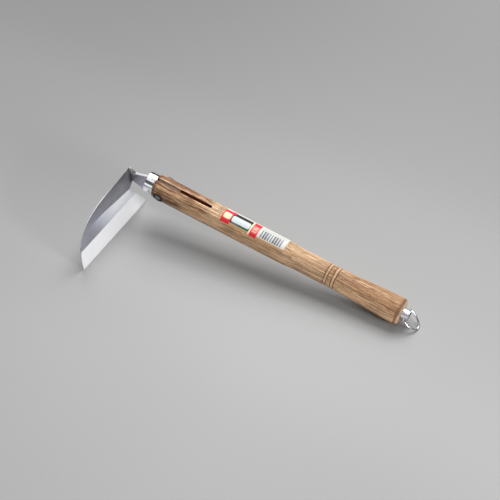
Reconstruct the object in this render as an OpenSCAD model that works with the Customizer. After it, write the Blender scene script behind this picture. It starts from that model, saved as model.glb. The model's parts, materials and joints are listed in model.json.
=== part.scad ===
// Folded weeding sickle, standing on its cutting edge and on the rim of its butt.
// X runs along the handle from the head to the butt, -Y runs from the heel of the blade to its tip,
// and Z is up from the surface that the sickle stands on.

/* [Stance] */
// Height of the handle's axis at the ferrule's front face
head_h = 51.65; // [48:0.05:56]
// Lean of the blade away from the handle, in degrees
lean = 10.5; // [8:0.5:14]
// Roll of the neck towards the tip, in degrees
neck_roll = 3.7; // [2:0.1:6]
// Roll of the tang and its slot towards the tip, in degrees
tang_roll = 9.4; // [6:0.1:12]

/* [Blade] */
// Thickness of the plate
blade_t = 2.5; // [1.5:0.1:3.5]
// Width of the ground bevel, which is the strip of hard steel
bevel_w = 25; // [18:1:30]
// Distance of the cutting edge in front of the ferrule
edge_x = -16; // [-18:0.5:-12]
// Distance of the heel past the handle's axis
heel_y = 17; // [14:0.5:20]
// Height of the spine above the cutting edge, along the plate
spine_v = 59.7; // [55:0.1:62]
// Place along the edge where the spine's curve starts
spine_u = 12.4; // [8:0.1:16]
// Length of the spine's curve along the edge
spine_len = 113.3; // [100:0.1:120]
// Squareness of the spine's curve, where 2 is an ellipse
spine_power = 3.37; // [2.5:0.01:4]
// Inner end of the slanted heel, along the edge and up the plate
throat = [26.6, 36.4];
// Crotch where the heel side meets the fold, along the edge and up the plate
crotch = [17.8, 42.7];
// Top corner of the plate at the fold, along the edge and up the plate
peak = [19, 61.5];
// Height up the plate of the notch in the fold
notch_v = 50.4; // [48:0.1:53]

/* [Neck and tang] */
// Thickness of the neck
neck_t = 2.8; // [2:0.1:3.5]
// Top corner of the neck by the fold, along and across the handle's axis
neck_top = [-16.3, 2];
// Half height of the neck at the ferrule
neck_half_h = 8.5; // [6:0.1:9]
// Lower corner of the neck's shoulder, along and across the handle's axis
chin = [-3.2, -17.2];
// Thickness of the web that closes the notch
web_t = 1.4; // [1:0.1:2]
// Thickness of the tang
tang_t = 2.4; // [2:0.1:2.8]
// Length of the tang behind the ferrule's front face
tang_len = 72; // [50:1:76]
// Half height of the tang
tang_half_h = 8; // [6:0.1:8.5]

/* [Handle] */
// Length of the handle with its ferrule
handle_len = 316.8; // [310:0.1:330]
// Radius at the shoulder behind the ferrule
grip_r = 13.75; // [13:0.05:14.2]
// Radius at the end of the grip, before the waist
grip_end_r = 13.45; // [13:0.05:13.9]
// Radius of the waist
waist_r = 12.3; // [11.5:0.05:12.8]
// Radius of the flared butt
butt_r = 14.9; // [14:0.05:15.5]
// Start and end of the narrowing from the grip to the waist
narrowing = [176, 194];
// Start and end of the flare from the waist to the butt
flare = [241, 309];
// Depth of the turned grooves
groove_depth = 0.7; // [0.3:0.1:1]
// Width of the turned grooves
groove_w = 1.5; // [1:0.1:2.2]
// Places of the turned grooves along the handle
grooves = [226.9, 230.2, 235.4, 239.2];
// Chamfer of the butt
butt_chamfer = 2.6; // [1.5:0.1:3.5]
// Width of the slot's front part
slot_w = 2.6; // [2.5:0.1:3]
// Width of the slot's open rear part
slot_rear_w = 3.6; // [3.2:0.1:4]
// Places along the handle where the slot widens and ends
slot_x = [42.8, 82.4];

/* [Ferrule and rivet] */
// Length of the ferrule
ferrule_len = 11.5; // [9:0.1:14]
// Outer radius of the ferrule
ferrule_r = 11.8; // [10.8:0.1:12]
// Wall of the ferrule
ferrule_wall = 0.9; // [0.8:0.1:1.2]
// Distance of the rivet behind the ferrule's front face
rivet_x = 20.8; // [18.5:0.1:24]
// Diameter of the rivet's shank
rivet_d = 4; // [3:0.1:4.5]
// Diameter of the rivet's domed heads
rivet_head_d = 6.6; // [5.5:0.1:8]
// Diameter of the washers under the rivet's heads
washer_d = 12; // [10:0.1:12.5]
// Thickness of the washers
washer_t = 1; // [0.8:0.1:1.4]

/* [Label] */
// Start and end of the label along the handle
label_x = [97, 175.4];
// Height of the label round the handle, in degrees
label_arc = 105; // [80:1:140]
// Lower edge of the label from the handle's top towards the tip, in degrees
label_low = 47; // [30:1:60]
// Thickness of the label
label_t = 0.2; // [0.15:0.01:0.3]

/* [Hanger] */
// Outer diameter of the cup on the butt
cup_d = 12.6; // [11:0.1:14]
// Length of the cup
cup_len = 8; // [7:0.1:10]
// Wall of the cup
cup_wall = 1; // [0.8:0.1:1.2]
// Distance of the ring's hinge behind the butt
hinge_out = 5.2; // [5:0.1:6]
// Diameter of the ring's wire
wire_d = 1.9; // [1.6:0.1:2.2]
// Half width of the ring at its hinge, to the middle of the wire
ring_half_w = 9; // [8.5:0.1:10]
// Reach of the ring from its hinge, to the middle of the wire
ring_len = 19.2; // [17:0.1:22]
// Radius of the round end of the ring, to the middle of the wire
ring_end_r = 5.5; // [4:0.1:7]
// Length of the hanger's screw under its head
screw_len = 28; // [20:1:35]
// Diameter of the hanger's screw
screw_d = 3.8; // [3:0.1:4.2]

/* [Hidden] */
$fn = 64;
gap = 0.05;
far = 60;

// The handle's lowest circle is the start of the butt's chamfer, which stands on the surface.
rest_x = handle_len - butt_chamfer;
pitch = asin(head_h / norm([rest_x, butt_r])) - atan2(butt_r, rest_x);
spigot_r = ferrule_r - ferrule_wall - gap;
lip_r = ferrule_r - 2.4;
tang_floor = -tang_half_h;
seat_r = grip_r - 1.5;
hinge_x = handle_len + hinge_out;
hinge_z = head_h - hinge_x * sin(pitch);
// The ring hangs until its round end meets the surface.
droop = asin((hinge_z - wire_d / 2 - gap) / ring_len);
// The ring's end arc is tangent to two wide side arcs, which are tangent to its straight legs.
leg_u = 6;
bend_r = 2;
side_k = let(a = ring_half_w - ring_end_r, b = ring_len - ring_end_r - leg_u) (a * a + b * b) / (2 * a);
side_r = side_k + ring_end_r;
side_arc = asin((ring_len - ring_end_r - leg_u) / side_k);

// The origin is under the middle of the sickle's box.
x_low = edge_x - peak[1] * sin(lean);
x_high = hinge_x * cos(pitch) + ring_len * cos(droop) + wire_d / 2;
y_low = heel_y - spine_u - spine_len;
middle = [(x_low + x_high) / 2, (y_low + heel_y) / 2, 0];

// A point of the plate's front face at a height up the plate, seen from the side in the handle's frame:
// along the axis and across it. A depth goes into the plate.
function plate_point(v, depth = 0) =
    let(out = blade_t - depth,
        x = edge_x - v * sin(lean) + out * cos(lean),
        z = v * cos(lean) + out * sin(lean) - head_h)
    [x * cos(pitch) - z * sin(pitch), x * sin(pitch) + z * cos(pitch)];

// The spine is a quarter of a superellipse that ends at the tip.
function spine_point(a) =
    [spine_u + spine_len * pow(cos(a), 2 / spine_power), spine_v * pow(sin(a), 2 / spine_power)];

// A smooth step from 0 to 1
function ease(t) = t * t * (3 - 2 * t);

// The handle's profile as pairs of place and radius
function grip_radius(x) = grip_r + (grip_end_r - grip_r) * (x - 16) / (narrowing[0] - 16);
function ramp(span, r0, r1, steps = 8) =
    [for (i = [0:steps]) [span[0] + (span[1] - span[0]) * i / steps, r0 + (r1 - r0) * ease(i / steps)]];
function groove(x) =
    [[x - groove_w / 2, waist_r], [x - groove_w / 5, waist_r - groove_depth],
     [x + groove_w / 5, waist_r - groove_depth], [x + groove_w / 2, waist_r]];
handle_profile = concat(
    [[0.95, 0], [0.95, spigot_r], [ferrule_len + gap, spigot_r], [ferrule_len + gap, ferrule_r + 0.9]],
    [[15.2, grip_r]],
    ramp(narrowing, grip_end_r, waist_r),
    [for (x = grooves) each groove(x)],
    ramp(flare, waist_r, butt_r),
    [[rest_x, butt_r], [handle_len - 0.5, butt_r - 1.6], [handle_len, butt_r - 2.2], [handle_len, 0]]);

// Places that carry the sub-parts
module stand() {
    translate(-middle)
        children();
}

module on_handle(roll = 0) {
    stand()
        translate([0, 0, head_h])
            rotate([0, pitch, 0])
                rotate([roll, 0, 0])
                    children();
}

// X runs along the cutting edge from the heel, Y up the plate, Z back through it from its front face.
module on_blade() {
    stand()
        translate([edge_x, heel_y, 0])
            rotate([0, -lean, 0])
                rotate([90, 0, -90])
                    translate([0, 0, -blade_t])
                        children();
}

// A turned shape from pairs of place along the handle and radius
module turned(profile, arc = 360) {
    rotate([0, 90, 0])
        rotate_extrude(angle = arc, $fn = 96)
            polygon([for (p = profile) [p[1], p[0]]]);
}

// A flat plate in the plane of the handle's axis, drawn along and across the axis
module upright(thickness) {
    rotate([90, 0, 0])
        translate([0, 0, -thickness / 2])
            linear_extrude(thickness)
                children();
}

// A rod along Y through the rivet's place
module across_rivet(d, from, to) {
    translate([rivet_x, 0, 0])
        rotate([90, 0, 0])
            translate([0, 0, from])
                cylinder(d = d, h = to - from, $fn = 48);
}

// Blade
module plate_outline() {
    back_u = crotch[0] - neck_t;
    polygon(concat(
        [[0, 0], throat, crotch, [back_u, crotch[1]], [back_u, notch_v], [peak[0] - web_t, peak[1]], peak],
        [for (a = [84:-4:0]) spine_point(a)]));
}

module edge_steel() {
    color("gainsboro")
        on_blade()
            intersection() {
                linear_extrude(blade_t)
                    plate_outline();
                rotate([90, 0, 90])
                    linear_extrude(3 * far)
                        polygon([[0, blade_t], [bevel_w, 0], [bevel_w - 6, blade_t]]);
            }
}

module blade_plate() {
    on_blade()
        difference() {
            linear_extrude(blade_t)
                plate_outline();
            rotate([90, 0, 90])
                translate([0, 0, -1])
                    linear_extrude(3 * far)
                        polygon([[-far, -far], [-far, far], [bevel_w - 6 - gap, far],
                                 [bevel_w - 6, blade_t], [bevel_w, 0], [bevel_w, -far]]);
        }
}

module neck() {
    on_handle(neck_roll)
        upright(neck_t)
            polygon([plate_point(crotch[1], blade_t * 0.9), plate_point(crotch[1]), chin,
                     [-gap, chin[1] + 3], [-gap, neck_half_h], neck_top, plate_point(notch_v),
                     plate_point(notch_v, blade_t * 0.9)]);
}

module web() {
    on_handle(neck_roll)
        translate([0, neck_t / 2 - web_t / 2, 0])
            upright(web_t)
                polygon([plate_point(notch_v - 2, 1), plate_point(peak[1] - 1, 1), plate_point(peak[1] - 1),
                         neck_top + [1, 1.4], neck_top + [1, -2]]);
}

module tang() {
    on_handle(tang_roll)
        difference() {
            upright(tang_t)
                polygon([[-2, tang_floor], [tang_len, tang_floor], [tang_len, tang_floor + 7],
                         [40, tang_half_h - 3], [16, tang_half_h], [-2, tang_half_h - 1]]);
            across_rivet(rivet_d + 0.2, -far, far);
        }
}

module blade_body() {
    color("slategray")
        union() {
            blade_plate();
            neck();
            web();
            tang();
        }
}

// Handle
module slot(width, start, end) {
    translate([start, -width / 2, tang_floor - gap])
        cube([end - start, width, far]);
}

module handle() {
    color("peru")
        on_handle(tang_roll)
            difference() {
                turned(handle_profile);
                slot(slot_w, -1, slot_x[0]);
                slot(slot_rear_w, slot_x[0], slot_x[1] - slot_rear_w / 2);
                translate([slot_x[1] - slot_rear_w / 2, 0, tang_floor - gap])
                    cylinder(d = slot_rear_w, h = far, $fn = 32);
                across_rivet(rivet_d + 0.2, -far, far);
                for (side = [0, 180])
                    rotate([side, 0, 0])
                        across_rivet(washer_d + 0.5, seat_r, far);
                translate([handle_len - screw_len - 1, 0, 0])
                    rotate([0, 90, 0])
                        cylinder(d = screw_d + 2 * gap, h = far, $fn = 32);
            }
}

module kerf_wedge() {
    color("saddlebrown")
        on_handle(tang_roll)
            intersection() {
                upright(slot_w - 2 * gap)
                    polygon([[14.5, tang_half_h + gap], [16, tang_half_h + gap], [40, tang_half_h - 3 + gap],
                             [slot_x[0] - 1, tang_half_h - 3 + gap], [slot_x[0] - 1, far], [14.5, far]]);
                rotate([0, 90, 0])
                    cylinder(r = grip_end_r - 0.2, h = slot_x[0]);
            }
}

// Ferrule and rivet
module ferrule() {
    r = ferrule_r;
    color("silver")
        on_handle()
            turned([[0, lip_r], [0, r - 0.7], [0.25, r - 0.2], [0.8, r], [ferrule_len - 0.4, r],
                    [ferrule_len, r - 0.3], [ferrule_len, r - ferrule_wall], [0.9, r - ferrule_wall],
                    [0.9, lip_r]]);
}

module rivet_head() {
    base = seat_r + washer_t + 2 * gap;
    rise = 1.5;
    ball = (rivet_head_d * rivet_head_d / 4 + rise * rise) / (2 * rise);
    translate([rivet_x, 0, 0])
        rotate([90, 0, 0])
            translate([0, 0, base])
                intersection() {
                    translate([0, 0, rise - ball])
                        sphere(r = ball);
                    cylinder(d = rivet_head_d, h = rise + 1);
                }
}

module tang_rivet() {
    color("lightsteelblue")
        on_handle(tang_roll)
            union() {
                across_rivet(rivet_d, -seat_r - washer_t - 0.3, seat_r + washer_t + 0.3);
                for (side = [0, 180])
                    rotate([side, 0, 0])
                        rivet_head();
            }
}

module rivet_washer(side) {
    color("dimgray")
        on_handle(tang_roll)
            rotate([side, 0, 0])
                difference() {
                    across_rivet(washer_d, seat_r + gap, seat_r + gap + washer_t);
                    across_rivet(rivet_d + 0.2, 0, far);
                }
}

module rivet_washer_near() {
    rivet_washer(0);
}

module rivet_washer_far() {
    rivet_washer(180);
}

// Label
module label() {
    low = [label_x[0], grip_radius(label_x[0]) + gap];
    high = [label_x[1], grip_radius(label_x[1]) + gap];
    color("white")
        on_handle(label_low)
            rotate([180 - label_arc, 0, 0])
                turned([low, high, high + [0, label_t], low + [0, label_t]], label_arc);
}

// Hanger
module hanger_cup() {
    r = cup_d / 2;
    start = handle_len + gap;
    end = handle_len + cup_len;
    color("silver")
        on_handle()
            difference() {
                turned([[start, screw_d / 2 + 0.2], [start, r - 0.6], [start + 0.6, r], [end - 0.4, r],
                        [end, r - 0.4], [end, r - cup_wall], [start + 1.2, r - cup_wall],
                        [start + 1.2, screw_d / 2 + 0.2]]);
                translate([hinge_x, 0, 0])
                    rotate([90, 0, 0])
                        cylinder(d = wire_d + 0.12, h = 2 * cup_d, center = true, $fn = 48);
            }
}

module hanger_screw() {
    seat = handle_len + 1.2 + 2 * gap;
    r = screw_d / 2;
    color("silver")
        on_handle()
            turned([[seat - screw_len, 0], [seat - screw_len + 5, r], [seat, r], [seat, r + 1.9],
                    [seat + 1.1, r + 1.7], [seat + 1.9, r], [seat + 1.9, 0]]);
}

module bent_wire(radius, from, arc, d) {
    rotate([0, 0, from])
        rotate_extrude(angle = arc, $fn = 96)
            translate([radius, 0])
                circle(d = d, $fn = 24);
}

// Half of the ring, in the XY plane. Its pin and leg reach a little way into the bends that they join.
module half_ring() {
    pin_len = 2.6;
    translate([0, ring_half_w - bend_r - pin_len, 0])
        rotate([-90, 0, 0])
            cylinder(d = wire_d - 0.02, h = pin_len + 0.1, $fn = 24);
    translate([bend_r, ring_half_w - bend_r, 0])
        bent_wire(bend_r, 90, 90, wire_d);
    translate([bend_r - 0.1, ring_half_w, 0])
        rotate([0, 90, 0])
            cylinder(d = wire_d - 0.02, h = leg_u - bend_r + 0.2, $fn = 24);
    translate([leg_u, ring_half_w - side_r, 0])
        bent_wire(side_r, 90 - side_arc, side_arc, wire_d);
}

module ring_end() {
    half = 91 - side_arc;
    translate([ring_len - ring_end_r, 0, 0])
        bent_wire(ring_end_r, -half, 2 * half, wire_d - 0.02);
}

module hanging_ring() {
    color("silver")
        stand()
            translate([hinge_x * cos(pitch), 0, hinge_z])
                rotate([0, droop, 0])
                    union() {
                        half_ring();
                        mirror([0, 1, 0])
                            half_ring();
                        ring_end();
                    }
}

blade_body();
edge_steel();
handle();
kerf_wedge();
ferrule();
tang_rivet();
rivet_washer_near();
rivet_washer_far();
label();
hanger_cup();
hanger_screw();
hanging_ring();
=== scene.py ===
import json
import math

import bmesh
import bpy
from mathutils import Matrix, Vector, noise


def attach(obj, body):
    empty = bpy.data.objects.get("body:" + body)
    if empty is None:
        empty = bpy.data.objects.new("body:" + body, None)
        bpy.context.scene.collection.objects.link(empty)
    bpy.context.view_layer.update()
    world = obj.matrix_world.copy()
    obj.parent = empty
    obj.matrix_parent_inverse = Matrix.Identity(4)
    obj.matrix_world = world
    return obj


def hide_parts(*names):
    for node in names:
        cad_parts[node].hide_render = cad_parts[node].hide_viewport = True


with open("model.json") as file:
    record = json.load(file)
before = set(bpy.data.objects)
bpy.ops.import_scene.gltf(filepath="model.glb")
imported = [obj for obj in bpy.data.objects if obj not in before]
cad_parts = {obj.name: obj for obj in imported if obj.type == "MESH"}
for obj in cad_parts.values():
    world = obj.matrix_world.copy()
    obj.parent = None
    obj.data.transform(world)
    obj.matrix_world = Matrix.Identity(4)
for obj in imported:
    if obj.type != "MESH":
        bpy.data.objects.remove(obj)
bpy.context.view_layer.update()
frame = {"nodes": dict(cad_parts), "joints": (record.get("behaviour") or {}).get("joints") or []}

MM = 0.001
PLACE, PRINT = "place", "print"

# ---------------------------------------------------------------- sizes, in millimetres and degrees
HEAD_H, LEAN, NECK_ROLL, TANG_ROLL = 51.65, 10.5, 3.7, 9.4
BLADE_T, BEVEL_W, SCARF = 2.5, 25.0, 6.0
EDGE_X, HEEL_Y = -16.0, 17.0
RIM_T, RIM_SHARE, RIM_SLOPE, SCARF_RIM_V = 1.1, 0.44, 0.4, 21.95
SPINE_U, SPINE_V, SPINE_LEN, SPINE_POWER = 12.4, 59.7, 113.3, 3.37
THROAT, CROTCH, PEAK, NOTCH_V = (26.6, 36.4), (17.8, 42.7), (19.0, 61.5), 50.4
NECK_T, NECK_TOP, NECK_HALF_H, CHIN, WEB_T, WEB_RISE = 2.8, (-16.3, 2.0), 8.5, (-3.2, -17.2), 1.4, 0.548
TANG_T, TANG_LEN, TANG_HALF_H = 2.4, 72.0, 8.0
HANDLE_LEN, GRIP_R, GRIP_END_R, WAIST_R, BUTT_R = 316.8, 13.75, 13.45, 12.3, 14.9
NARROWING, FLARE, GROOVES = (176.0, 194.0), (241.0, 309.0), (226.9, 230.2, 235.4, 239.2)
GROOVE_HALF, GROOVE_DEPTH = 0.75, 0.7
BUTT_CHAMFER, SPIGOT_R, SHOULDER_X, CHAMFER_X = 2.6, 10.85, 11.55, 15.2
SLOT_W, SLOT_REAR_W, SLOT_STEP, SLOT_END, SLOT_FLOOR = 2.6, 3.6, 42.8, 82.4, -8.05
FERRULE_LEN, FERRULE_R, FERRULE_WALL = 11.5, 11.8, 0.9
RIVET_X, SEAT_R, SEAT_D = 20.8, 12.25, 12.5
LABEL_X, LABEL_ARC, LABEL_LOW, LABEL_T = (97.0, 175.4), 105.0, 47.0, 0.2
HINGE_OUT = 5.2
# small shapes that the sizes above leave open
SHOULDER_R, SHOULDER_ROUND, BUTT_DROP, BUTT_ROUND = FERRULE_R + 0.9, 0.7, 2.4, 1.7
SPIGOT_X, SLOT_EASE, NECK_END_X, EDGE_ROUND = 0.95, 0.2, -0.05, 0.22
WEDGE_X, WEDGE_FOOT, WEDGE_DROP, WEDGE_DROP_X = (14.5, SLOT_STEP - 0.9), 8.05, 3.1, (16.0, 40.0)
FINE_STEP, FRONT_STEP, PLAIN_STEP = 0.22, 0.36, 1.25

# the camera: target and lens in millimetres, angles in degrees, distance in metres
CAMERA_TARGET, CAMERA_AZIMUTH, CAMERA_ELEVATION = (124.77, 8.44, 0.0), 30.4, 47.0
CAMERA_DISTANCE, CAMERA_LENS, SENSOR_WIDTH = 1.6, 104.5, 36.0
# the floor's half width, and each light's place, target and size, in metres; each light's power in watts
FLOOR_HALF = 6.0
LIGHTS = (
    ("key", (-0.25, 0.66, 1.4), (0.0, -0.03, 0.0), (1.2, 0.9), 30.0),
    ("back", (-0.3, 1.5, 1.5), (0.0, 0.0, 0.0), (1.8, 0.8), 20.0),
    ("ceiling", (-0.1, -0.42, 1.42), (-0.1, -0.1, 0.0), (1.5, 0.8), 3.2),
    ("front", (-0.1, -2.2, 0.5), (0.0, 0.0, 0.05), (3.0, 0.8), 6.8),
    ("side", (1.5, -0.3, 0.6), (-0.17, 0.0, 0.03), (0.4, 0.3), 15.0),
)
WORLD_COLOUR, WORLD_STRENGTH = (0.94, 0.96, 1.0, 1.0), 0.1

REST_X = HANDLE_LEN - BUTT_CHAMFER
PITCH = math.asin(HEAD_H / math.hypot(REST_X, BUTT_R)) - math.atan2(BUTT_R, REST_X)


# ---------------------------------------------------------------- frames
def turn(degrees, axis):
    return Matrix.Rotation(math.radians(degrees), 4, axis)


HINGE = Vector(frame["joints"][0]["pos_m"])
HINGE_X = HANDLE_LEN + HINGE_OUT
AXIS_AT_HINGE = Vector((HINGE_X * math.cos(PITCH), 0, HEAD_H - HINGE_X * math.sin(PITCH))) * MM
STAND = Matrix.Translation(HINGE - AXIS_AT_HINGE)


def handle_frame(roll=0.0):
    """X along the handle from the ferrule's front face, Z up across it, in metres."""
    raised = Matrix.Translation((0, 0, HEAD_H * MM))
    return STAND @ raised @ Matrix.Rotation(PITCH, 4, "Y") @ turn(roll, "X")


def blade_frame():
    """X along the cutting edge from the heel, Y up the plate, Z back through it from its front face."""
    corner = Matrix.Translation((EDGE_X * MM, HEEL_Y * MM, 0))
    lay = turn(-90, "Z") @ turn(90, "X")
    return STAND @ corner @ turn(-LEAN, "Y") @ lay @ Matrix.Translation((0, 0, -BLADE_T * MM))


# ---------------------------------------------------------------- camera
def make_camera():
    centre = STAND @ (Vector(CAMERA_TARGET) * MM)
    azimuth, elevation = math.radians(CAMERA_AZIMUTH), math.radians(CAMERA_ELEVATION)
    back = Vector((math.sin(azimuth) * math.cos(elevation),
                   -math.cos(azimuth) * math.cos(elevation), math.sin(elevation)))
    data = bpy.data.cameras.new("camera")
    data.sensor_width, data.lens = SENSOR_WIDTH, CAMERA_LENS
    data.clip_start, data.clip_end = 0.1, 50.0
    camera = bpy.data.objects.new("camera", data)
    camera.location = centre + back * CAMERA_DISTANCE
    camera.rotation_mode = "QUATERNION"
    camera.rotation_quaternion = (-back).to_track_quat("-Z", "Y")
    bpy.context.scene.collection.objects.link(camera)
    bpy.context.scene.camera = camera


make_camera()


# ---------------------------------------------------------------- materials
class Nodes:
    """Short calls for building a node material."""

    def __init__(self, name):
        self.material = bpy.data.materials.new(name)
        self.material.use_nodes = True
        self.tree = self.material.node_tree
        self.shader = self.tree.nodes["Principled BSDF"]

    def put(self, socket, value):
        if isinstance(value, bpy.types.NodeSocket):
            self.tree.links.new(value, socket)
        elif hasattr(socket.default_value, "__len__") and not hasattr(value, "__len__"):
            socket.default_value = [value] * len(socket.default_value)
        elif hasattr(value, "__len__") and len(socket.default_value) == 4 and len(value) == 3:
            socket.default_value = (*value, 1.0)
        else:
            socket.default_value = value

    def set(self, **inputs):
        for name, value in inputs.items():
            self.put(self.shader.inputs[name.replace("_", " ")], value)

    def node(self, kind, **inputs):
        made = self.tree.nodes.new(kind)
        for name, value in inputs.items():
            self.put(made.inputs[name], value)
        return made

    def coords(self, scale=(1.0, 1.0, 1.0), kind=PLACE, shift=(0.0, 0.0, 0.0)):
        """Coordinates in millimetres, times scale: a piece's own ones from its mesh, or the row's."""
        mapping = self.tree.nodes.new("ShaderNodeMapping")
        unit = 1.0
        if kind == "ROW":
            source = self.tree.nodes.new("ShaderNodeTexCoord").outputs["Object"]
            unit = 1000.0
        else:
            attribute = self.tree.nodes.new("ShaderNodeAttribute")
            attribute.attribute_name = kind
            source = attribute.outputs["Vector"]
        self.tree.links.new(source, mapping.inputs["Vector"])
        mapping.inputs["Scale"].default_value = [s * unit for s in scale]
        mapping.inputs["Location"].default_value = shift
        return mapping.outputs["Vector"]

    def axis(self, vector, which):
        made = self.node("ShaderNodeSeparateXYZ", Vector=vector)
        return made.outputs["XYZ".index(which)]

    def noise(self, vector, detail=3.0, rough=0.55):
        made = self.node("ShaderNodeTexNoise", Vector=vector, Scale=1.0, Detail=detail, Roughness=rough)
        return made.outputs["Fac"]

    def math(self, operation, a, b=0.0):
        made = self.tree.nodes.new("ShaderNodeMath")
        made.operation = operation
        for socket, value in zip(made.inputs, (a, b)):
            self.put(socket, value)
        return made.outputs[0]

    def plus(self, a, b):
        return self.math("ADD", a, b)

    def minus(self, a, b):
        return self.math("SUBTRACT", a, b)

    def times(self, a, b):
        return self.math("MULTIPLY", a, b)

    def step(self, value, low, high, start=0.0, end=1.0):
        """start below low, end above high, and smooth between them."""
        made = self.tree.nodes.new("ShaderNodeMapRange")
        made.interpolation_type = "SMOOTHSTEP"
        inputs = {"Value": value, "From Min": low, "From Max": high, "To Min": start, "To Max": end}
        for name, x in inputs.items():
            self.put(made.inputs[name], x)
        return made.outputs["Result"]

    def band(self, value, low, high, soft):
        """1 between low and high, 0 outside."""
        return self.times(self.step(value, low - soft, low + soft),
                          self.step(value, high - soft, high + soft, 1.0, 0.0))

    def mix(self, factor, a, b, blend="MIX"):
        made = self.tree.nodes.new("ShaderNodeMix")
        made.data_type, made.blend_type = "RGBA", blend
        self.put(made.inputs[0], factor)
        self.put(made.inputs[6], a)
        self.put(made.inputs[7], b)
        return made.outputs[2]

    def ramp(self, factor, *stops):
        made = self.node("ShaderNodeValToRGB", Fac=factor)
        elements = made.color_ramp.elements
        while len(elements) < len(stops):
            elements.new(0.5)
        for element, (place, colour) in zip(elements, stops):
            element.position, element.color = place, (*colour, 1.0)
        return made.outputs["Color"]

    def bump(self, height, distance, strength):
        made = self.node("ShaderNodeBump", Height=height, Distance=distance * MM, Strength=strength)
        self.put(self.shader.inputs["Normal"], made.outputs["Normal"])


def rgb(*values):
    """Linear colour from screen values of 0 to 255."""
    return tuple(((v / 255 + 0.055) / 1.055) ** 2.4 if v > 10 else v / 3294.6 for v in values)


def wood_material(name, light, mid, dark, pore):
    """Brushed wood with lengthwise streaks; returns the nodes and the colour, which the caller sets."""
    n = Nodes(name)
    place = n.coords()
    x, y, z = (n.axis(place, a) for a in "XYZ")
    # the streaks keep their width where the handle flares
    radius = n.math("SQRT", n.plus(n.times(y, y), n.times(z, z)))
    even = n.math("DIVIDE", GRIP_R, n.math("MAXIMUM", radius, 1.0))
    round_y, round_z = n.times(y, even), n.times(z, even)

    def streaks(along, across, detail, rough, shift):
        parts = [n.plus(n.times(value, scale), shift)
                 for value, scale in ((x, along), (round_y, across), (round_z, across))]
        place = n.node("ShaderNodeCombineXYZ", X=parts[0], Y=parts[1], Z=parts[2])
        return n.noise(place.outputs["Vector"], detail, rough)

    wide = streaks(0.006, 0.12, 2.0, 0.5, 0.0)
    grain = streaks(0.01, 0.5, 3.0, 0.6, 3.0)
    lines = streaks(0.02, 0.95, 3.0, 0.6, 7.0)
    fine = streaks(0.03, 2.0, 3.0, 0.6, 11.0)
    pores = streaks(0.11, 2.2, 2.0, 0.5, 17.0)
    broken = streaks(0.06, 0.66, 2.0, 0.5, 23.0)
    tone = n.plus(n.times(grain, 0.75), n.times(wide, 0.25))
    colour = n.ramp(tone, (0.38, dark), (0.45, mid), (0.51, light), (0.565, mid), (0.63, dark))
    dark_lines = n.step(lines, 0.51, 0.56)
    colour = n.mix(n.times(n.step(broken, 0.53, 0.57), 0.5), colour, dark)
    colour = n.mix(n.times(n.step(broken, 0.46, 0.42, 0.0, 1.0), 0.45), colour, light)
    colour = n.mix(n.times(dark_lines, 0.9), colour, dark)
    colour = n.mix(n.times(n.step(lines, 0.45, 0.4, 0.0, 1.0), 0.45), colour, light)
    colour = n.mix(n.times(n.step(fine, 0.52, 0.6), 0.6), colour, dark)
    pore_mask = n.step(pores, 0.56, 0.64)
    colour = n.mix(n.times(pore_mask, 0.8), colour, pore)
    hollows = n.plus(n.times(dark_lines, 0.4), n.times(pore_mask, 0.8))
    height = n.minus(n.times(grain, 0.5), hollows)
    n.bump(height, 0.4, 0.9)
    n.set(Roughness=n.step(tone, 0.3, 0.7, 0.55, 0.42), Specular_IOR_Level=0.35, Coat_Weight=0.08,
          Coat_Roughness=0.35)
    return n, colour


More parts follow.
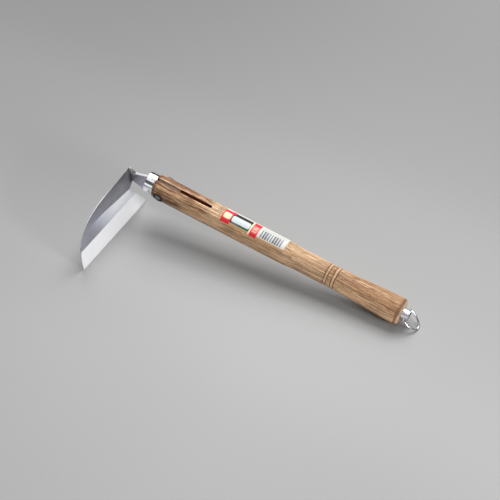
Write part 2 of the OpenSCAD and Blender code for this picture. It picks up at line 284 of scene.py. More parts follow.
def handle_wood():
    """The handle's wood: scorched at the front, paler behind the slot, marked at the butt; painted shade
    on top, under the front and in the grooves, painted light below and between them.
    """
    n, colour = wood_material("handle_wood", rgb(244, 204, 158), rgb(200, 152, 106), rgb(96, 60, 36),
                              rgb(56, 34, 22))
    place = n.coords()
    x, y, z = (n.axis(place, a) for a in "XYZ")
    # darker wood at the front, paler wood before the label and at the waist
    front = n.times(n.step(x, 46.0, 78.0, 1.0, 0.0), n.step(z, 2.0, 10.0, 0.4, 1.0))
    pale = n.plus(n.band(x, 80.0, 100.0, 5.0), n.band(x, 172.0, 226.0, 9.0))
    colour = n.mix(n.times(front, 0.35), colour, rgb(112, 74, 48))
    colour = n.mix(n.step(x, 76.0, 104.0, 0.0, 0.22), colour, rgb(238, 200, 158))
    colour = n.mix(n.step(x, 238.0, 280.0, 0.0, 0.16), colour, rgb(150, 100, 62))
    colour = n.mix(n.times(pale, 0.3), colour, rgb(244, 212, 172))
    # painted shade on top, duller, and warmer painted light on the lower side, behind the slot
    crown = n.times(n.step(z, 9.0, 13.0), n.step(x, 96.0, 250.0, 0.0, 0.55))
    colour = n.mix(crown, colour, rgb(158, 116, 78))
    lower_painted_light = n.plus(n.step(x, 44.0, 56.0, 0.0, 0.5), n.step(x, 226.0, 250.0, 0.0, 0.4))
    low_side = n.times(n.step(z, 2.0, 12.0, 1.0, 0.0), n.step(z, -5.0, 2.0, 0.45, 1.0))
    lower_painted_light = n.times(low_side, lower_painted_light)
    colour = n.mix(lower_painted_light, colour, rgb(255, 208, 162))
    # bolder streaks behind the slot
    bold = n.noise(n.coords((0.03, 0.62, 0.62), shift=(5.0, 2.0, 9.0)), 3.0, 0.62)
    bold = n.times(n.step(bold, 0.5, 0.54), n.step(x, 70.0, 110.0, 0.2, 0.45))
    colour = n.mix(bold, colour, rgb(104, 62, 36))
    # a brown patch beside the slot, and painted shade towards the underside of the front
    patch = n.times(n.band(x, 26.0, 62.0, 9.0), n.band(y, 4.5, 12.0, 1.6))
    colour = n.mix(n.times(patch, 0.5), colour, rgb(112, 70, 42))
    underside_painted_shade = n.times(n.step(z, -13.0, 1.0, 1.0, 0.0), n.step(x, 26.0, 74.0, 0.7, 0.0))
    colour = n.mix(underside_painted_shade, colour, rgb(78, 48, 30))
    ends = n.plus(n.step(x, 12.0, 17.0, 1.0, 0.0), n.band(x, REST_X - 1.6, REST_X + 1.6, 0.4))
    colour = n.mix(n.times(ends, 0.6), colour, rgb(98, 60, 36))
    colour = n.mix(n.step(x, REST_X + 1.9, REST_X + 2.4, 0.0, 0.6), colour, rgb(214, 192, 170))
    # painted highlight on the band between each pair of grooves, and painted shade in the grooves
    groove_painted_shade, bead_painted_highlight = 0.0, 0.0
    for first, second in (GROOVES[:2], GROOVES[2:]):
        bead_painted_highlight = n.plus(bead_painted_highlight, n.band(x, first + 0.7, second - 0.7, 0.3))
        for groove in (first, second):
            groove_painted_shade = n.plus(groove_painted_shade, n.band(x, groove - 0.5, groove + 0.5, 0.25))
    colour = n.mix(n.times(bead_painted_highlight, 0.35), colour, rgb(236, 206, 170))
    colour = n.mix(n.times(groove_painted_shade, 0.7), colour, rgb(92, 56, 32))
    n.set(Base_Color=colour)
    return n.material


def slot_wood():
    n = Nodes("slot_wood")
    streak = n.noise(n.coords((0.04, 1.5, 0.5)), 4.0, 0.6)
    # dark red-brown scorched wood, deepened by painted shade in the narrow slot
    n.set(Base_Color=n.ramp(streak, (0.3, rgb(92, 44, 32)), (0.7, rgb(140, 74, 50))), Roughness=0.75,
          Specular_IOR_Level=0.25)
    n.bump(streak, 0.3, 0.6)
    return n.material


def wedge_wood():
    n, colour = wood_material("wedge_wood", rgb(84, 48, 34), rgb(66, 37, 26), rgb(48, 26, 17),
                              rgb(32, 18, 12))
    side = n.math("ABSOLUTE", n.axis(n.coords(), "Y"))
    n.set(Base_Color=n.mix(n.step(side, 0.7, 1.2), colour, rgb(58, 34, 20)))
    return n.material


def blade_iron():
    """Grey forged plate with a bright ground band beside the bevel, which fades along the blade; the
    band's near-white is partly a painted sheen, and the plate has painted shade by the fold.
    """
    n = Nodes("blade_iron")
    place = n.coords()
    u, v = n.axis(place, "X"), n.axis(place, "Y")
    cloud = n.noise(n.coords((0.09, 0.09, 0.09)), 4.0, 0.6)
    mottle = n.noise(n.coords((0.55, 0.4, 0.55)), 4.0, 0.65)
    scratch = n.noise(n.coords((1.6, 0.06, 1.6)), 3.0, 0.6)
    tone = n.plus(n.times(mottle, 0.4), n.times(cloud, 0.6))
    grey = n.ramp(tone, (0.3, rgb(138, 138, 142)), (0.7, rgb(172, 172, 177)))
    grey = n.mix(n.step(u, 30.0, 110.0, 0.0, 0.6), grey, rgb(190, 190, 206))
    grey = n.mix(n.step(v, 44.0, 60.0, 0.0, 0.4), grey, rgb(116, 116, 118))
    top = n.plus(36.5, n.step(u, 8.0, 92.0, 0.0, 6.0))
    rise = n.minus(top, v)
    band = n.step(rise, -0.6, 0.8)
    along = n.plus(u, n.times(n.minus(37.0, v), 0.5))
    ground = n.times(band, n.step(along, 70.0, 108.0, 1.0, 0.0))
    # painted sheen: the ground band's near-white, with less metal, is partly painted in place of
    # reflected light
    ground_and_painted_sheen = n.mix(scratch, rgb(226, 230, 238), rgb(250, 251, 253))
    ground_and_painted_sheen = n.mix(n.step(along, 56.0, 84.0, 0.0, 0.55), ground_and_painted_sheen, rgb(186, 190, 212))
    colour = n.mix(ground, grey, ground_and_painted_sheen)
    # painted shade on the plate beside the fold towards the neck
    fold_painted_shade = n.times(n.band(u, 8.0, 22.0, 2.0), n.step(v, 38.0, 45.0))
    colour = n.mix(n.times(fold_painted_shade, 0.5), colour, rgb(84, 83, 86))
    n.set(Base_Color=colour, Metallic=n.step(ground, 0.0, 1.0, 0.8, 0.3),
          Roughness=n.step(mottle, 0.3, 0.7, 0.36, 0.5))
    n.bump(n.plus(n.times(scratch, 0.35), n.times(mottle, 0.65)), 0.05, 0.6)
    return n.material


def neck_iron():
    """The neck's faces: scaled grey iron with a faint purple cast, and the web in the notch, painted
    lighter as painted light, with painted highlight lines along its edges.
    """
    n = Nodes("neck_iron")
    place = n.coords()
    mottle = n.noise(n.coords((0.5, 0.5, 0.5)), 4.0, 0.65)
    colour = n.ramp(mottle, (0.3, rgb(158, 155, 166)), (0.7, rgb(194, 191, 204)))
    # over the line from the notch's corner to the neck's top
    z = n.axis(place, "Z")
    over = n.minus(n.plus(n.axis(place, "Y"), n.times(z, WEB_RISE)), NOTCH_V)
    web = n.step(over, 0.0, 0.4)
    # painted light: the web is painted lighter and less metallic
    colour = n.mix(web, colour, rgb(190, 189, 193))
    # painted highlight lines where the web meets the plate and along the notch line
    painted_highlight_lines = n.math("MAXIMUM", n.step(z, -2.0, -1.2), n.step(over, 0.8, 1.4, 1.0, 0.0))
    colour = n.mix(n.times(web, painted_highlight_lines), colour, rgb(253, 253, 254))
    n.set(Base_Color=colour, Metallic=n.step(web, 0.0, 1.0, 0.8, 0.4), Roughness=0.45)
    n.bump(mottle, 0.06, 0.6)
    return n.material


def cut_steel():
    """The sheared and filed edges of the plate."""
    n = Nodes("cut_steel")
    place = n.coords()
    lines = n.noise(n.coords((1.2, 1.2, 1.2)), 4.0, 0.6)
    # the web's thin free edge above the notch is darker
    web = n.times(n.step(n.axis(place, "Y"), NOTCH_V + 4.6, NOTCH_V + 5.4),
                  n.step(n.axis(place, "Z"), -0.9, -0.3, 1.0, 0.0))
    web = n.times(web, n.step(n.axis(place, "Z"), -7.6, -7.0))
    colour = n.mix(lines, rgb(206, 208, 212), rgb(240, 240, 243))
    # painted shade along the spine's edge towards the neck
    spine = n.times(n.step(n.axis(place, "Y"), 40.0, 44.0),
                    n.step(n.axis(place, "X"), 46.0, 74.0, 0.75, 0.0))
    spine = n.times(spine, n.step(n.axis(place, "Z"), -3.2, -2.8))
    colour = n.mix(spine, colour, rgb(112, 112, 116))
    n.set(Base_Color=n.mix(web, colour, rgb(120, 120, 124)), Metallic=0.5, Roughness=0.42)
    n.bump(lines, 0.05, 0.5)
    return n.material


def edge_steel():
    """Hard steel, ground across the bevel; its near-white with little metal is partly a painted sheen.
    """
    n = Nodes("edge_steel")
    place = n.coords()
    v = n.axis(place, "Y")
    grind = n.noise(n.coords((2.2, 0.035, 1.0)), 3.0, 0.65)
    cloud = n.noise(n.coords((0.05, 0.05, 0.05)), 3.0, 0.5)
    # painted sheen: the near-white colour with little metal stands in for reflected light
    colour = n.mix(grind, rgb(246, 247, 250), rgb(255, 255, 255))
    colour = n.mix(n.times(n.step(cloud, 0.4, 0.7), 0.12), colour, rgb(220, 224, 236))
    hone = n.step(v, 0.9, 1.3, 1.0, 0.0)
    colour = n.mix(n.times(hone, 0.35), colour, rgb(196, 200, 206))
    n.set(Base_Color=colour, Metallic=0.1, Roughness=n.step(grind, 0.3, 0.7, 0.36, 0.48))
    n.bump(grind, 0.03, 0.5)
    return n.material


def polished(name, base, roughness, streak_scale, kind="ROW", streak_depth=0.02):
    n = Nodes(name)
    streak = n.noise(n.coords(streak_scale, kind), 3.0, 0.6)
    smudge = n.noise(n.coords((0.16, 0.16, 0.16), kind), 3.0, 0.5)
    n.set(Base_Color=n.mix(streak, tuple(c * 0.9 for c in base), base), Metallic=1.0,
          Roughness=n.step(smudge, 0.3, 0.75, roughness, roughness * 1.9))
    n.bump(streak, streak_depth, 0.4)
    return n.material


def label_print():
    """Generic blocks of colour and plain bars, in the label's own UV map in mm: X along, Y round it."""
    n = Nodes("label_print")
    place = n.coords((1.0, 1.0, 1.0), kind=PRINT)
    x, y = n.axis(place, "X"), n.axis(place, "Y")

    def box(x0, x1, y0, y1, corner, soft=0.12):
        """A rounded rectangle: 1 inside, 0 outside."""
        dx = n.math("ABSOLUTE", n.minus(x, (x0 + x1) / 2))
        dy = n.math("ABSOLUTE", n.minus(y, (y0 + y1) / 2))
        dx, dy = n.minus(dx, (x1 - x0) / 2 - corner), n.minus(dy, (y1 - y0) / 2 - corner)
        dx, dy = n.math("MAXIMUM", dx, 0.0), n.math("MAXIMUM", dy, 0.0)
        far = n.math("SQRT", n.plus(n.times(dx, dx), n.times(dy, dy)))
        return n.step(far, corner - soft, corner + soft, 1.0, 0.0)

    paper = n.mix(n.noise(n.coords((0.6, 0.6, 0.6)), 3.0), rgb(186, 185, 178), rgb(200, 199, 194))
    red, black, green = rgb(196, 36, 48), rgb(22, 22, 20), rgb(38, 84, 60)
    cream, tan, ash, frost = rgb(226, 204, 166), rgb(178, 140, 98), rgb(58, 60, 68), rgb(186, 194, 196)
    colour = paper
    # a tan strip along the lower edge, then from the front: red, black, red and white blocks
    colour = n.mix(box(10.6, 80.0, -1.0, 2.6, 0.2), colour, tan)
    colour = n.mix(box(-1.0, 10.8, -1.0, 17.4, 0.3), colour, red)
    colour = n.mix(box(1.3, 9.6, 5.2, 12.8, 1.8, 0.6), colour, cream)
    colour = n.mix(box(10.8, 34.2, 2.7, 17.4, 0.2), colour, black)
    colour = n.mix(box(8.4, 13.6, 14.6, 18.4, 0.5), colour, rgb(186, 30, 70))
    colour = n.mix(box(22.6, 33.6, 2.8, 5.2, 0.3), colour, green)
    colour = n.mix(box(12.2, 21.8, 2.8, 5.2, 0.3), colour, rgb(92, 92, 96))
    colour = n.mix(box(11.6, 33.6, 4.9, 12.6, 2.0), colour, frost)
    speck = n.step(n.noise(n.coords((0.5, 0.7, 1.0), kind=PRINT), 2.0), 0.54, 0.6)
    panel = box(13.0, 32.0, 6.0, 11.2, 1.6, 0.4)
    tint = n.mix(n.step(x, 20.0, 24.0), rgb(150, 190, 168), rgb(196, 150, 200))
    colour = n.mix(n.times(n.times(panel, speck), 0.7), colour, tint)
    colour = n.mix(box(34.2, 36.0, -1.0, 17.6, 0.1), colour, cream)
    colour = n.mix(box(36.0, 44.6, -1.0, 19.0, 0.2), colour, red)
    swirl = n.noise(n.coords((0.5, 0.5, 1.0), kind=PRINT, shift=(3.0, 1.0, 0.0)), 2.0)
    swirl = n.step(swirl, 0.5, 0.58)
    inner = box(37.2, 43.4, 4.4, 13.0, 1.6, 0.5)
    colour = n.mix(n.times(inner, 0.45), colour, rgb(226, 150, 142))
    colour = n.mix(n.times(n.times(inner, swirl), 0.6), colour, cream)
    # bars of unequal widths that stand for nothing
    wide = n.math("SINE", n.times(x, 2.1))
    narrow = n.math("SINE", n.times(x, 4.7))
    bars = n.step(n.plus(wide, n.times(narrow, 0.6)), -0.25, 0.25)
    field = box(46.8, 73.8, 3.4, 13.2, 0.2)
    colour = n.mix(n.times(field, 0.5), colour, rgb(166, 170, 180))
    colour = n.mix(n.times(n.times(bars, field), 0.9), colour, ash)
    line = box(47.6, 75.0, 14.8, 15.8, 0.2)
    colour = n.mix(n.times(line, 0.6), colour, rgb(128, 128, 118))
    n.set(Base_Color=colour, Roughness=0.5, Specular_IOR_Level=0.3)
    n.bump(n.noise(n.coords((0.4, 0.4, 0.4)), 3.0), 0.06, 0.5)
    return n.material


# ---------------------------------------------------------------- mesh helpers
def new_piece(name, mesh, matrix, materials, body, slot, *replaced):
    """Puts a mesh in the row frame, and keeps its own coordinates in millimetres for its materials."""
    place = mesh.attributes.new(PLACE, "FLOAT_VECTOR", "POINT")
    place.data.foreach_set("vector", [x / MM for v in mesh.vertices for x in v.co])
    mesh.transform(matrix)
    piece = bpy.data.objects.new(name, mesh)
    bpy.context.scene.collection.objects.link(piece)
    for material in materials:
        mesh.materials.append(material)
    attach(piece, body)
    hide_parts(*replaced)


def mesh_from(name, bm, sharp=35.0):
    bmesh.ops.remove_doubles(bm, verts=bm.verts, dist=1e-7)
    bmesh.ops.dissolve_degenerate(bm, edges=bm.edges, dist=1e-8)
    bmesh.ops.recalc_face_normals(bm, faces=bm.faces)
    mesh = bpy.data.meshes.new(name)
    bm.to_mesh(mesh)
    bm.free()
    mesh.shade_smooth()
    mesh.set_sharp_from_angle(angle=math.radians(sharp))
    return mesh


def lathe(profile, count=160):
    """A closed turned shape about X, from a closed loop of (place, radius) in millimetres."""
    bm = bmesh.new()
    rings = []
    for x, r in profile:
        if r < 1e-6:
            rings.append([bm.verts.new((x * MM, 0, 0))])
            continue
        angles = [2 * math.pi * i / count for i in range(count)]
        rings.append([bm.verts.new((x * MM, r * MM * math.sin(a), r * MM * math.cos(a)))
                      for a in angles])
    for one, two in zip(rings, rings[1:] + rings[:1]):
        if len(one) == 1 and len(two) == 1:
            continue
        for i in range(count):
            j = (i + 1) % count
            corners = [one[i % len(one)], one[j % len(one)], two[j % len(two)], two[i % len(two)]]
            bm.faces.new(list(dict.fromkeys(corners)))
    return bm


def prism(points, low, high, matrix=None, axis="Z"):
    """A closed solid from an outline in millimetres, between two heights."""
    bm = bmesh.new()
    layers = []
    for h in (low, high):
        placed = [Vector((x, y, h)) if axis == "Z" else Vector((x, h, y)) for x, y in points]
        layers.append([bm.verts.new(p * MM) for p in placed])
    bm.faces.new(layers[0][::-1])
    bm.faces.new(layers[1])
    for i in range(len(points)):
        j = (i + 1) % len(points)
        bm.faces.new((layers[0][i], layers[0][j], layers[1][j], layers[1][i]))
    if matrix is not None:
        bm.transform(matrix)
    bmesh.ops.recalc_face_normals(bm, faces=bm.faces)
    return bm


def to_object(bm, name):
    mesh = bpy.data.meshes.new(name)
    bm.to_mesh(mesh)
    bm.free()
    made = bpy.data.objects.new(name, mesh)
    bpy.context.scene.collection.objects.link(made)
    return made


def applied_mesh(obj, name):
    """The object's mesh with its modifiers applied; the object itself is removed."""
    bpy.context.view_layer.update()
    evaluated = obj.evaluated_get(bpy.context.evaluated_depsgraph_get())
    mesh = bpy.data.meshes.new_from_object(evaluated)
    mesh.name = name
    bpy.data.objects.remove(obj)
    return mesh


def boolean(target, tool, operation):
    modifier = target.modifiers.new(operation, "BOOLEAN")
    modifier.operation, modifier.object, modifier.solver = operation, tool, "EXACT"


# ---------------------------------------------------------------- blade
def spine_point(angle):
    c, s = max(math.cos(angle), 0.0), max(math.sin(angle), 0.0)
    return SPINE_U + SPINE_LEN * c ** (2 / SPINE_POWER), SPINE_V * s ** (2 / SPINE_POWER)


def spine_u(v):
    return SPINE_U + SPINE_LEN * max(0.0, 1 - (v / SPINE_V) ** SPINE_POWER) ** (1 / SPINE_POWER)


def heel_u(v):
    return v * THROAT[0] / THROAT[1]


def rim_depth(v):
    """How deep the flat of the spine's edge goes from the plate's front, before the eased back."""
    share = min(v / BEVEL_W, 1.0)
    return BLADE_T * (1 - share) + RIM_SHARE * BLADE_T * share


def inward(points, index, distance):
    """A point of the spine moved into the plate, square to the spine."""
    one, two = points[max(index - 1, 0)], points[min(index + 1, len(points) - 1)]
    along = Vector((two[0] - one[0], two[1] - one[1])).normalized()
    return points[index][0] + along.y * distance, points[index][1] - along.x * distance


def plate_solid():
    """The plate above the bevel: its back is eased off towards the spine, and its foot is the scarf."""
    back_u = CROTCH[0] - NECK_T
    fixed = [THROAT, CROTCH, (back_u, CROTCH[1]), (back_u, NOTCH_V)]
    spine = [PEAK]
    steps = 72
    for i in range(steps + 1):
        point = spine_point(math.radians(84.0) * (1 - i / steps))
        if point[1] > BEVEL_W + 0.2:
            spine.append(point)
    eased = (BLADE_T - RIM_T) / RIM_SLOPE
    front = [(heel_u(BEVEL_W), BEVEL_W, 0.0)]
    middle = [(heel_u(BEVEL_W - SCARF / 2), BEVEL_W - SCARF / 2, BLADE_T / 2)]
    back = [(heel_u(BEVEL_W - SCARF), BEVEL_W - SCARF, BLADE_T)]
    corner = (PEAK[0] - WEB_T, PEAK[1])
    for u, v in fixed + [corner] + spine:
        front.append((u, v, 0.0))
        middle.append((u, v, RIM_T))
    back += [(u, v, BLADE_T) for u, v in fixed]
    back.append((corner[0], corner[1] - eased, BLADE_T))
    back.append((PEAK[0], PEAK[1] - eased, BLADE_T))
    back += [(*inward(spine, i, eased), BLADE_T) for i in range(1, len(spine))]
    foot = SCARF_RIM_V
    front.append((spine_u(BEVEL_W), BEVEL_W, 0.0))
    middle.append((spine_u(foot), foot, rim_depth(foot)))
    low = BEVEL_W - SCARF
    back.append((spine_u(low) - (BLADE_T - rim_depth(low)) / RIM_SLOPE, low, BLADE_T))
    bm = bmesh.new()
    layers = [[bm.verts.new(Vector(p) * MM) for p in layer] for layer in (front, middle, back)]
    bm.faces.new(layers[0][::-1])
    bm.faces.new(layers[2])
    for one, two in zip(layers, layers[1:]):
        for i in range(len(one)):
            j = (i + 1) % len(one)
            bm.faces.new((one[i], one[j], two[j], two[i]))
    bmesh.ops.recalc_face_normals(bm, faces=bm.faces)
    return bm


def neck_point(v, depth=0.0):
    """A point at a height up the plate, seen from the side in the handle's frame."""
    out, lean = BLADE_T - depth, math.radians(LEAN)
    x = EDGE_X - v * math.sin(lean) + out * math.cos(lean)
    z = v * math.cos(lean) + out * math.sin(lean) - HEAD_H
    return (x * math.cos(PITCH) - z * math.sin(PITCH), x * math.sin(PITCH) + z * math.cos(PITCH))


def web_mesh(to_blade):
    """The thin web in the notch, which tapers from the neck and the fold to its free edge."""
    back, foot, thin = NECK_T / 2, WEB_T, 0.35
    corners = [(neck_point(NOTCH_V - 2.0, 1.0), foot), (neck_point(PEAK[1] - 0.6, 1.0), thin),
               (neck_point(PEAK[1] - 0.6), thin), ((NECK_TOP[0] + 1.2, NECK_TOP[1] + 0.5), thin),
               ((NECK_TOP[0] + 1.2, NECK_TOP[1] - 2.0), foot), (neck_point(NOTCH_V - 2.0), foot)]
    bm = bmesh.new()
    rear = [bm.verts.new(Vector((x, back, z)) * MM) for (x, z), _ in corners]
    face = [bm.verts.new(Vector((x, back - t, z)) * MM) for (x, z), t in corners]
    count = len(corners)
    for i in range(count):
        j = (i + 1) % count
        bm.faces.new((rear[i], rear[j], face[j], face[i]))
    bm.faces.new(rear)
    centre = bm.verts.new(sum((v.co for v in face), Vector()) / count)
    for i in range(count):
        bm.faces.new((face[i], face[(i + 1) % count], centre))
    bm.transform(to_blade @ handle_frame(NECK_ROLL))
    bmesh.ops.recalc_face_normals(bm, faces=bm.faces)
    return bm


def make_blade(iron, neck_metal, cut, hard):
    matrix = blade_frame()
    to_blade = matrix.inverted()
    neck_place = to_blade @ handle_frame(NECK_ROLL)
    plate = to_object(plate_solid(), "plate")
    neck = [neck_point(CROTCH[1], BLADE_T * 0.9), neck_point(CROTCH[1]), CHIN,
            (NECK_END_X, CHIN[1] + 3.0), (NECK_END_X, NECK_HALF_H), NECK_TOP,
            neck_point(NOTCH_V), neck_point(NOTCH_V, BLADE_T * 0.9)]
    neck_obj = to_object(prism(neck, -NECK_T / 2, NECK_T / 2, neck_place, "Y"), "neck")
    web_obj = to_object(web_mesh(to_blade), "web")
    floor = -TANG_HALF_H
    tang = [(-2.0, floor), (TANG_LEN, floor), (TANG_LEN, floor + 7.0), (40.0, TANG_HALF_H - 3.0),
            (16.0, TANG_HALF_H), (-2.0, TANG_HALF_H - 1.0)]
    tang_place = to_blade @ handle_frame(TANG_ROLL)
    tang_obj = to_object(prism(tang, -TANG_T / 2, TANG_T / 2, tang_place, "Y"), "tang")
    tools = (neck_obj, web_obj, tang_obj)
    for tool in tools:
        boolean(plate, tool, "UNION")
    mesh = applied_mesh(plate, "blade_body")
    for tool in tools:
        bpy.data.objects.remove(tool)
    bm = bmesh.new()
    bm.from_mesh(mesh)
    bmesh.ops.dissolve_limit(bm, angle_limit=math.radians(0.4), verts=bm.verts, edges=bm.edges)
    join = (BEVEL_W + 0.01) * MM
    rim = [e for e in bm.edges if len(e.link_faces) == 2 and e.calc_face_angle(0.0) > math.radians(30)
           and not all(v.co.y < join for v in e.verts)]
    bmesh.ops.bevel(bm, geom=rim, offset=EDGE_ROUND * MM, segments=2, profile=0.7, affect="EDGES",
                    clamp_overlap=True)
    across = (neck_place.to_3x3() @ Vector((0, 1, 0))).normalized()
    for f in bm.faces:
        on_plate, on_neck = abs(f.normal.z) > 0.9, abs(f.normal.dot(across)) > 0.9
        high = f.calc_center_median().y > CROTCH[1] * 0.5 * MM
        f.material_index = 0 if on_plate else 1 if on_neck and high else 2
    made = mesh_from("blade_body", bm, 28.0)
    new_piece("blade_body_forged", made, matrix, [iron, neck_metal, cut], "sickle", "blade_iron",
              "blade_body")

    # the hard steel: a strip from the cutting edge up to the plate, with the spine's edge at its tip
    heights = (0.6, 1.2, 3.0, 6.0, 9.0, 12.0, 15.0, BEVEL_W - SCARF)
    rows = [(v, BLADE_T * (1 - v / BEVEL_W), spine_u(v)) for v in (0.0, *heights, 22.0, BEVEL_W)]
    rows += [(v, BLADE_T, spine_u(v) - (BLADE_T - rim_depth(v)) / RIM_SLOPE) for v in heights[::-1]]
    columns = 60
    bm = bmesh.new()
    grid = []
    for v, depth, end in rows:
        start = heel_u(v)
        grid.append([bm.verts.new(Vector((start + (end - start) * i / columns, v, depth)) * MM)
                     for i in range(columns + 1)])
    for one, two in zip(grid, grid[1:] + grid[:1]):
        for i in range(columns):
            bm.faces.new((one[i], one[i + 1], two[i + 1], two[i]))
    bm.faces.new([row[0] for row in grid])
    count = len(heights)
    tip, walls = grid[0][-1], [row[-1] for row in grid[1:count + 1]]
    upper, top = grid[count + 1][-1], grid[count + 2][-1]
    backs = [row[-1] for row in grid[:count + 2:-1]]
    rims = [bm.verts.new(Vector((spine_u(v), v, rim_depth(v))) * MM) for v in heights]
    foot = bm.verts.new(Vector((spine_u(SCARF_RIM_V), SCARF_RIM_V, rim_depth(SCARF_RIM_V))) * MM)
    closing = [(tip, walls[0], rims[0]), (tip, rims[0], backs[0]),
               (walls[-1], upper, top, foot, rims[-1]), (rims[-1], foot, backs[-1]),
               (top, foot, backs[-1])]
    for i in range(count - 1):
        closing.append((walls[i], walls[i + 1], rims[i + 1], rims[i]))
        closing.append((rims[i], rims[i + 1], backs[i + 1], backs[i]))
    for corners in closing:
        bm.faces.new(corners).material_index = 1
    made = mesh_from("edge_steel", bm, 3.0)
    new_piece("edge_steel_ground", made, matrix, [hard, cut], "sickle", "edge_steel", "edge_steel")


# ---------------------------------------------------------------- handle
def ease(t):
    t = min(max(t, 0.0), 1.0)
    return t * t * (3 - 2 * t)


def handle_radius(x):
    if x <= CHAMFER_X:
        share = ease((x - SHOULDER_X) / (CHAMFER_X - SHOULDER_X))
        return SHOULDER_R + (GRIP_R - SHOULDER_R) * share ** SHOULDER_ROUND
    if x < NARROWING[0]:
        return GRIP_R + (GRIP_END_R - GRIP_R) * (x - 16) / (NARROWING[0] - 16)
    if x < NARROWING[1]:
        share = (x - NARROWING[0]) / (NARROWING[1] - NARROWING[0])
        return GRIP_END_R + (WAIST_R - GRIP_END_R) * ease(share)
    if x < FLARE[0]:
        cut = max(0.0, *(1 - (abs(x - g) / GROOVE_HALF) ** 2 for g in GROOVES))
        return WAIST_R - GROOVE_DEPTH * cut
    if x < REST_X:
        return WAIST_R + (BUTT_R - WAIST_R) * ease((x - FLARE[0]) / (FLARE[1] - FLARE[0]))
    over = (x - REST_X) / BUTT_CHAMFER
    return BUTT_R - BUTT_DROP * over ** BUTT_ROUND


def slot_half_width(x):
    if x <= SLOT_STEP - SLOT_EASE:
        return SLOT_W / 2
    if x <= SLOT_STEP + SLOT_EASE:
        share = (x - SLOT_STEP + SLOT_EASE) / (2 * SLOT_EASE)
        return SLOT_W / 2 + (SLOT_REAR_W - SLOT_W) / 2 * share
    half = SLOT_REAR_W / 2
    over = max(0.0, x - (SLOT_END - half))
    return math.sqrt(max(0.0, half * half - over * over))


def handle_stations():
    stations = []
    x = SHOULDER_X
    while x < HANDLE_LEN:
        stations.append(x)
        near_groove = any(abs(x - g) < 1.6 for g in GROOVES)
        near_end = SLOT_END - 2.2 < x < SLOT_END + 0.4
        if near_groove or near_end or x > REST_X - 1:
            x += FINE_STEP
        elif x < 27:
            x += FRONT_STEP
        else:
            x += PLAIN_STEP
    stations += [SLOT_STEP - SLOT_EASE, SLOT_STEP + SLOT_EASE, SLOT_END, REST_X, HANDLE_LEN]
    return sorted(set(round(s, 3) for s in stations))


def wood_relief(x, a, r):
    """How far the brushed grain lies below the turned surface, in millimetres."""
    y, z = r * math.sin(a), r * math.cos(a)
    coarse = noise.noise(Vector((x * 0.022, y * 0.55, z * 0.55)))
    fine = noise.noise(Vector((x * 0.05 + 31.0, y * 1.15, z * 1.15)))
    return 0.09 * max(0.0, coarse + 0.15) + 0.1 * max(0.0, fine)


def make_handle(wood, slot):
    columns, wall = 200, 5
    bm = bmesh.new()

    def ring(x, radius, relief):
        half = slot_half_width(x) if x <= SLOT_END else 0.0
        start = math.asin(min(1.0, half / radius))
        outer = []
        for i in range(columns + 1):
            a = start + (2 * math.pi - 2 * start) * i / columns
            r = radius - (wood_relief(x, a, radius) if relief else 0.0)
            y, z = r * math.sin(a), r * math.cos(a)
            if math.hypot(x - RIVET_X, z) < SEAT_D / 2 and abs(y) > SEAT_R:
                y = math.copysign(SEAT_R, y)
            outer.append(bm.verts.new(Vector((x, y, z)) * MM))
        if x > SLOT_END:
            return outer, []
        inner = []
        for side, corner in ((1, outer[0]), (-1, outer[-1])):
            top = corner.co.z / MM
            heights = [top + (SLOT_FLOOR - top) * k / wall for k in range(1, wall + 1)]
            inner.append([bm.verts.new(Vector((x, side * half, h)) * MM) for h in heights])
        return outer, inner

    xs = [SPIGOT_X, SHOULDER_X - 0.01] + handle_stations()
    rings = []
    for k, x in enumerate(xs):
        radius = SPIGOT_R if k < 2 else handle_radius(x)
        rings.append(ring(x, radius, k > 2))
    for (outer1, inner1), (outer2, inner2) in zip(rings, rings[1:]):
        for i in range(columns):
            bm.faces.new((outer1[i], outer1[i + 1], outer2[i + 1], outer2[i]))
        if inner1 and inner2:
            for side, corner in ((0, 0), (1, -1)):
                one, two = [outer1[corner]] + inner1[side], [outer2[corner]] + inner2[side]
                for k in range(wall):
                    bm.faces.new((one[k], one[k + 1], two[k + 1], two[k])).material_index = 1
            floor = (inner1[0][-1], inner1[1][-1], inner2[1][-1], inner2[0][-1])
            bm.faces.new(floor).material_index = 1
    first, walls = rings[0]
    bm.faces.new(first + walls[1] + walls[0][::-1])
    last = rings[-1][0]
    bm.faces.new(last[:-1])
    made = mesh_from("handle", bm, 40.0)
    new_piece("handle_turned", made, handle_frame(TANG_ROLL), [wood, slot], "sickle", "handle_wood",
              "handle")


def make_wedge(wood):
    bm = bmesh.new()
    half, (start, end) = SLOT_W / 2 - 0.05, WEDGE_X
    steps, across = 60, 6
    rings = []
    for i in range(steps + 1):
        x = start + (end - start) * i / steps
        share = (x - WEDGE_DROP_X[0]) / (WEDGE_DROP_X[1] - WEDGE_DROP_X[0])
        low = WEDGE_FOOT - WEDGE_DROP * ease(share)
        ring = []
        for k in range(across + 1):
            y = -half + 2 * half * k / across
            sag = 0.35 + 0.25 * noise.noise(Vector((x * 0.06, y * 1.4, 3.0)))
            crown = math.sqrt(handle_radius(x) ** 2 - y * y) - sag
            ring.append(bm.verts.new(Vector((x, y, crown)) * MM))
        ring.append(bm.verts.new(Vector((x, half, low)) * MM))
        ring.append(bm.verts.new(Vector((x, -half, low)) * MM))
        rings.append(ring)
    for one, two in zip(rings, rings[1:]):
        for i in range(len(one)):
            j = (i + 1) % len(one)
            bm.faces.new((one[i], one[j], two[j], two[i]))
    bm.faces.new(rings[0])
    bm.faces.new(rings[-1])
    made = mesh_from("kerf_wedge", bm)
    new_piece("kerf_wedge_wood", made, handle_frame(TANG_ROLL), [wood], "sickle", "wedge_wood",
              "kerf_wedge")


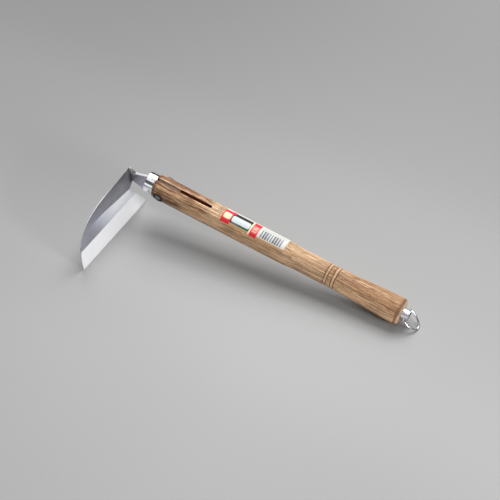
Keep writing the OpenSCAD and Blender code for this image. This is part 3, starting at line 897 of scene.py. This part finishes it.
def make_label(paper):
    bm = bmesh.new()
    uv = bm.loops.layers.uv.new("print")
    along, around = 80, 48
    low_a, high_a = math.radians(LABEL_LOW), math.radians(LABEL_LOW - LABEL_ARC)
    layers = []
    for lift in (0.05, LABEL_T):
        rows = []
        for i in range(along + 1):
            x = LABEL_X[0] + (LABEL_X[1] - LABEL_X[0]) * i / along
            row = []
            for k in range(around + 1):
                a = low_a + (high_a - low_a) * k / around
                edge = min(i, along - i, k, around - k)
                curl = 0.03 if edge == 0 and lift > 0.1 else 0.0
                r = handle_radius(x) + lift - curl
                place = Vector((x, -r * math.sin(a), r * math.cos(a))) * MM
                arc = (low_a - a) * handle_radius(x)
                row.append((bm.verts.new(place), (x - LABEL_X[0], arc)))
            rows.append(row)
        layers.append(rows)

    def face(*corners):
        made = bm.faces.new([c[0] for c in corners])
        for loop, corner in zip(made.loops, corners):
            loop[uv].uv = corner[1]

    for rows in layers:
        for one, two in zip(rows, rows[1:]):
            for k in range(around):
                face(one[k], one[k + 1], two[k + 1], two[k])
    inner, outer = layers
    for k in range(around):
        for i in (0, along):
            face(inner[i][k], inner[i][k + 1], outer[i][k + 1], outer[i][k])
    for i in range(along):
        for k in (0, around):
            face(inner[i][k], inner[i + 1][k], outer[i + 1][k], outer[i][k])
    made = mesh_from("label", bm, 50.0)
    new_piece("label_printed", made, handle_frame(), [paper], "sickle", "label_paper", "label")


def make_ferrule(metal):
    r, wall = FERRULE_R, FERRULE_WALL
    lip = r - 2.4
    profile = [(0.9, lip + 0.1), (0.5, lip), (0.18, lip + 0.12), (0.0, lip + 0.5), (0.0, r - 1.2)]
    profile += [(1.1 - 1.1 * math.cos(math.radians(a)), r - 1.1 + 1.1 * math.sin(math.radians(a)))
                for a in range(12, 91, 13)]
    profile += [(1.1, r), (FERRULE_LEN - 1.3, r), (FERRULE_LEN - 1.0, r - 0.12), (FERRULE_LEN - 0.7, r)]
    profile += [(FERRULE_LEN - 0.2, r), (FERRULE_LEN, r - 0.2), (FERRULE_LEN, r - wall + 0.05)]
    profile += [(FERRULE_LEN - 0.1, r - wall), (0.9, r - wall)]
    made = mesh_from("ferrule", lathe(profile, 192), 30.0)
    new_piece("ferrule_spun", made, handle_frame(), [metal], "sickle", "ferrule_metal", "ferrule")


# ---------------------------------------------------------------- light and floor
def make_stage():
    bm = bmesh.new()
    bmesh.ops.create_grid(bm, x_segments=8, y_segments=8, size=FLOOR_HALF)
    mesh = bpy.data.meshes.new("floor")
    bm.to_mesh(mesh)
    bm.free()
    floor = bpy.data.objects.new("floor", mesh)
    bpy.context.scene.collection.objects.link(floor)
    n = Nodes("floor_grey")
    place = n.coords(kind="ROW")
    speck = n.noise(n.coords((0.4, 0.4, 0.4), "ROW"), 2.0)
    # painted light on the floor: its grey is darker towards the back, and lighter to the right and
    # towards the front
    near = n.step(n.axis(place, "Y"), -60.0, 520.0, 1.0, 0.72)
    right = n.times(n.step(n.axis(place, "X"), -420.0, 60.0, 0.93, 1.0),
                    n.step(n.axis(place, "X"), -437.0, 263.0, 0.97, 1.2))
    lift = n.times(n.step(n.axis(place, "Y"), -74.0, 106.0, 0.14, 0.0),
                   n.step(n.axis(place, "X"), 23.0, 263.0, 1.0, 0.45))
    painted_light_level = n.plus(n.step(n.axis(place, "Y"), 176.0, 286.0, 0.96, 0.91), lift)
    near_left = n.times(n.step(n.axis(place, "Y"), -174.0, -74.0, 1.0, 0.0),
                        n.step(n.axis(place, "X"), -200.0, 50.0, 0.06, -0.03))
    painted_light_level = n.plus(painted_light_level, near_left)
    grey = n.times(n.times(near, right), n.step(speck, 0.0, 1.0, 0.272, 0.284))
    grey = n.times(grey, painted_light_level)
    n.set(Base_Color=n.mix(1.0, (1.0, 1.0, 1.0), grey, "MULTIPLY"), Roughness=0.85,
          Specular_IOR_Level=0.15)
    mesh.materials.append(n.material)


def area_light(name, place, target, size, power):
    data = bpy.data.lights.new(name, "AREA")
    data.shape, data.energy = "RECTANGLE", power
    data.size, data.size_y = size
    light = bpy.data.objects.new(name, data)
    light.location = place
    light.rotation_mode = "QUATERNION"
    light.rotation_quaternion = (Vector(target) - Vector(place)).to_track_quat("-Z", "Y")
    bpy.context.scene.collection.objects.link(light)


def make_light():
    world = bpy.data.worlds.new("studio")
    bpy.context.scene.world = world
    world.use_nodes = True
    background = world.node_tree.nodes["Background"]
    background.inputs["Color"].default_value = WORLD_COLOUR
    background.inputs["Strength"].default_value = WORLD_STRENGTH
    for light in LIGHTS:
        area_light(*light)
    bpy.context.scene.view_settings.view_transform = "Standard"


# ---------------------------------------------------------------- put together
make_blade(blade_iron(), neck_iron(), cut_steel(), edge_steel())
make_handle(handle_wood(), slot_wood())
make_wedge(wedge_wood())
make_label(label_print())
make_ferrule(polished("ferrule_metal", rgb(246, 247, 250), 0.1, (0.5, 2.4, 2.4), PLACE))

cad_materials = {
    "tang_rivet": polished("rivet_metal", rgb(136, 132, 132), 0.26, (1.5, 1.5, 1.5)),
    "rivet_washer_near": polished("washer_metal", rgb(70, 64, 60), 0.38, (1.2, 1.2, 1.2)),
    "rivet_washer_far": polished("washer_metal_far", rgb(70, 64, 60), 0.38, (1.2, 1.2, 1.2)),
    "hanger_cup": polished("cup_metal", rgb(238, 240, 244), 0.2, (1.6, 0.5, 0.5)),
    "hanger_screw": polished("screw_metal", rgb(214, 214, 218), 0.26, (1.0, 1.0, 1.0)),
    "hanging_ring": polished("ring_wire", rgb(206, 208, 212), 0.2, (0.8, 0.8, 0.8)),
}
for node, material in cad_materials.items():
    mesh = frame["nodes"][node].data
    mesh.materials.clear()
    mesh.materials.append(material)

make_stage()
make_light()
